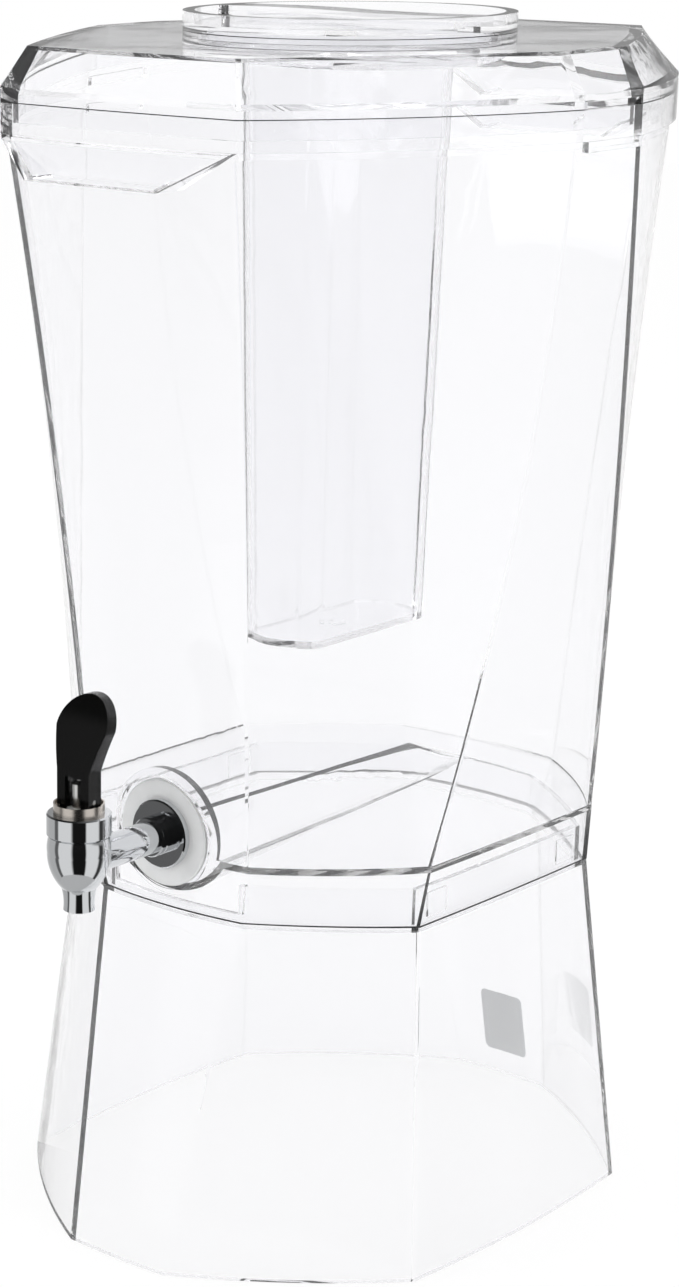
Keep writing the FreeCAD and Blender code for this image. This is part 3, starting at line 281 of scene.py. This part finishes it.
class DISPENSER_OT_stage(bpy.types.Operator):
    """Adds the floor, the lamps, the white surroundings and the camera"""
    bl_idname = "dispenser.stage"
    bl_label = "Set the studio"

    def execute(self, context):
        sizes = context.scene.dispenser_sizes
        deselect()
        bpy.ops.mesh.primitive_plane_add(size=sizes.floor_size, location=(0, 0, -FLOOR_DROP))
        floor = context.object
        floor.name = "studio_floor"
        floor.data.materials.append(self.floor_paint())
        for name, place, size, power in (
                ("left_softbox", (-1.6, -1.3, 1.3), 1.4, 15.0),
                ("right_softbox", (2.1, -0.3, 1.2), 1.2, 13.0),
                ("top_softbox", (0.2, 0.3, 2.4), 1.6, 14.0)):
            bpy.ops.object.light_add(type="AREA", location=place)
            lamp = context.object
            lamp.name = name
            lamp.data.size = size
            lamp.data.energy = power
            lamp.visible_glossy = False
            aim = LAMPS_AIM - Vector(place)
            lamp.rotation_euler = aim.to_track_quat("-Z", "Y").to_euler()
        self.surround(context.scene)
        self.light_paths(context.scene)
        self.camera(context)
        return {"FINISHED"}

    def floor_paint(self):
        """White paper sweep with a faint shadow. Mirrors see a small grey table and past the rest."""
        material, tree, output, place = begin("White Paper Sweep")
        path = add(tree, "ShaderNodeLightPath")
        straight = either(tree, path.outputs["Is Camera Ray"], path.outputs["Is Transmission Ray"])
        seen = either(tree, straight, path.outputs["Is Glossy Ray"])
        mirrored = off_a_mirror(tree, path)
        share = add(tree, "ShaderNodeMath", {"operation": "MULTIPLY"}, {1: FLOOR_GLOW}, {0: seen})
        matt = add(tree, "ShaderNodeBsdfDiffuse", values={"Color": colour("#F4F4F4")})
        level = add(tree, "ShaderNodeMapRange", values={"To Min": 1.0, "To Max": TABLE_GREY},
                    links={"Value": mirrored})
        glow = add(tree, "ShaderNodeEmission", values={"Color": (1, 1, 1, 1)},
                   links={"Strength": level.outputs["Result"]})
        mix = add(tree, "ShaderNodeMixShader", links={
            "Fac": share.outputs[0], 1: matt.outputs["BSDF"], 2: glow.outputs["Emission"]})
        off_table = add(tree, "ShaderNodeVectorMath", {"operation": "DISTANCE"},
                        {1: TABLE_MIDDLE}, {0: place})
        beyond = add(tree, "ShaderNodeMath", {"operation": "GREATER_THAN"}, {1: TABLE_RADIUS},
                     {0: off_table.outputs["Value"]})
        passed = add(tree, "ShaderNodeMath", {"operation": "MULTIPLY"},
                     links={0: mirrored, 1: beyond.outputs[0]})
        clear = add(tree, "ShaderNodeBsdfTransparent")
        paper = add(tree, "ShaderNodeMixShader", links={
            "Fac": passed.outputs[0], 1: mix.outputs["Shader"], 2: clear.outputs["BSDF"]})
        tree.links.new(paper.outputs["Shader"], output.inputs["Surface"])
        return material

    def surround(self, scene):
        """White all round; only what mirrors see has the grey and black cards of a product studio."""
        world = bpy.data.worlds.new("studio_surround")
        scene.world = world
        world.use_nodes = True
        tree = world.node_tree
        tree.nodes.clear()
        output = add(tree, "ShaderNodeOutputWorld")
        way = add(tree, "ShaderNodeTexCoord").outputs["Generated"]
        parts = add(tree, "ShaderNodeSeparateXYZ", links={"Vector": way})
        turn = add(tree, "ShaderNodeMath", {"operation": "ARCTAN2"},
                   links={0: parts.outputs["Y"], 1: parts.outputs["X"]})
        share = add(tree, "ShaderNodeMapRange",
                    values={"From Min": -math.pi, "From Max": math.pi},
                    links={"Value": turn.outputs[0]})
        cards = add(tree, "ShaderNodeValToRGB", links={"Fac": share.outputs["Result"]})
        ramp = cards.color_ramp
        edges = [(edge, level) for start, end, level in CARDS for edge in (start, end)]
        for edge, level in edges[1:-1]:
            ramp.elements.new(edge)
        for element, (edge, level) in zip(ramp.elements, edges):
            element.position = edge
            element.color = (level, level, level, 1)
        lean = add(tree, "ShaderNodeMath", {"operation": "MULTIPLY_ADD"}, {1: ROOF_LEAN},
                   {0: parts.outputs["Y"], 2: parts.outputs["Z"]})
        height = add(tree, "ShaderNodeMapRange",
                     values={"From Min": ROOF_START, "From Max": ROOF_FULL},
                     links={"Value": lean.outputs[0]})
        roof_grey = add(tree, "ShaderNodeMapRange",
                        values={"From Min": ROOF_BACK, "From Max": ROOF_FRONT,
                                "To Min": ROOF_BACK_GREY, "To Max": ROOF_FRONT_GREY},
                        links={"Value": parts.outputs["Y"]})
        room = add(tree, "ShaderNodeMix", {"data_type": "RGBA"},
                   links={"Factor": height.outputs["Result"], "A": cards.outputs["Color"],
                          "B": roof_grey.outputs["Result"]})
        path = add(tree, "ShaderNodeLightPath")
        plain = add(tree, "ShaderNodeMix", {"data_type": "RGBA"}, {"A": (1, 1, 1, 1)},
                    {"Factor": off_a_mirror(tree, path), "B": room.outputs["Result"]})
        seen = either(tree, path.outputs["Is Camera Ray"], path.outputs["Is Transmission Ray"])
        white = add(tree, "ShaderNodeMix", {"data_type": "RGBA"}, {"B": (1, 1, 1, 1)},
                    {"Factor": seen, "A": plain.outputs["Result"]})
        light = add(tree, "ShaderNodeBackground", values={"Strength": 1.0},
                    links={"Color": white.outputs["Result"]})
        tree.links.new(light.outputs["Background"], output.inputs["Surface"])

    def light_paths(self, scene):
        """Light runs a long way to and fro inside clear walls before it leaves them."""
        scene.view_settings.view_transform = "Standard"
        scene.cycles.max_bounces = 24
        scene.cycles.diffuse_bounces = 8
        scene.cycles.glossy_bounces = 20
        scene.cycles.transmission_bounces = 24

    def camera(self, context):
        data = bpy.data.cameras.new("studio_camera")
        eye = bpy.data.objects.new("studio_camera", data)
        context.scene.collection.objects.link(eye)
        eye.location = (0.822859, -1.061081, 0.595238)
        look = Vector((-0.6408882, 0.7026103, -0.3091943))
        eye.rotation_euler = look.to_track_quat("-Z", "Y").to_euler()
        data.lens = 86.62
        data.sensor_width = 36.0
        data.shift_x = 0.19092
        data.shift_y = 0.14724
        context.scene.camera = eye


# Cut of the patch's round corners as a share of its sides, its thickness, and its gap to the wall
PATCH_CORNER = 0.10
FILM_THICKNESS = 0.0003
FILM_GAP = 0.0001


class DISPENSER_OT_patch(bpy.types.Operator):
    """Sticks the blank frosted patch on the back of the pedestal"""
    bl_idname = "dispenser.patch"
    bl_label = "Add the frosted patch"

    def execute(self, context):
        sizes = context.scene.dispenser_sizes
        deselect()
        bpy.ops.mesh.primitive_plane_add(size=1.0, location=(0, 0, 0))
        patch = context.object
        patch.name = "frosted_patch"
        bpy.ops.object.mode_set(mode="EDIT")
        bpy.ops.mesh.bevel(offset=PATCH_CORNER, offset_pct=0, segments=5, affect="VERTICES")
        bpy.ops.object.mode_set(mode="OBJECT")
        corners = self.corners(sizes)
        for vertex in patch.data.vertices:
            across, up = vertex.co.x + 0.5, vertex.co.y + 0.5
            vertex.co = (corners[0] * (1 - across) + corners[1] * across) * (1 - up) + (
                corners[3] * (1 - across) + corners[2] * across) * up
        bpy.ops.object.modifier_add(type="SOLIDIFY")
        patch.modifiers[-1].thickness = FILM_THICKNESS
        patch.modifiers[-1].offset = 1.0
        bpy.ops.object.modifier_apply(modifier=patch.modifiers[-1].name)
        patch.data.materials.append(frosted_film())
        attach(patch, "pedestal")
        return {"FINISHED"}

    def corners(self, sizes):
        """Lower and upper corners from behind, left to right, on the pedestal's sloping back."""
        middle_x, middle_z = sizes.patch_place
        width, height = sizes.patch_size
        points = []
        for side, up in ((1, -1), (-1, -1), (-1, 1), (1, 1)):
            x = middle_x + side * width / 2
            z = middle_z + up * height / 2
            points.append(Vector((x, self.back_at(x, z), z)))
        return points

    def back_at(self, x, z):
        """Outside of the pedestal's back at one place, read from its solid."""
        shell = frame["nodes"]["pedestal_base"]
        found, place = shell.ray_cast(Vector((x, 1.0, z)), Vector((0, -1, 0)))[:2]
        if not found:
            raise RuntimeError("the patch misses the pedestal's back")
        return place.y + FILM_GAP


class DISPENSER_PT_panel(bpy.types.Panel):
    bl_label = "Dispenser"
    bl_idname = "DISPENSER_PT_panel"
    bl_space_type = "VIEW_3D"
    bl_region_type = "UI"
    bl_category = "Dispenser"

    def draw(self, context):
        sizes = context.scene.dispenser_sizes
        for name in ("patch_place", "patch_size", "floor_size"):
            self.layout.prop(sizes, name)
        for operator in STEPS:
            self.layout.operator(operator.bl_idname)


STEPS = (
    DISPENSER_OT_finishes,
    DISPENSER_OT_patch,
    DISPENSER_OT_stage,
)
CLASSES = (DispenserSizes, *STEPS, DISPENSER_PT_panel)


def register():
    for item in CLASSES:
        bpy.utils.register_class(item)
    bpy.types.Scene.dispenser_sizes = PointerProperty(type=DispenserSizes)


def unregister():
    del bpy.types.Scene.dispenser_sizes
    for item in reversed(CLASSES):
        bpy.utils.unregister_class(item)


def main():
    register()
    bpy.ops.dispenser.finishes()
    bpy.ops.dispenser.patch()
    bpy.ops.dispenser.stage()


if __name__ == "__main__":
    main()
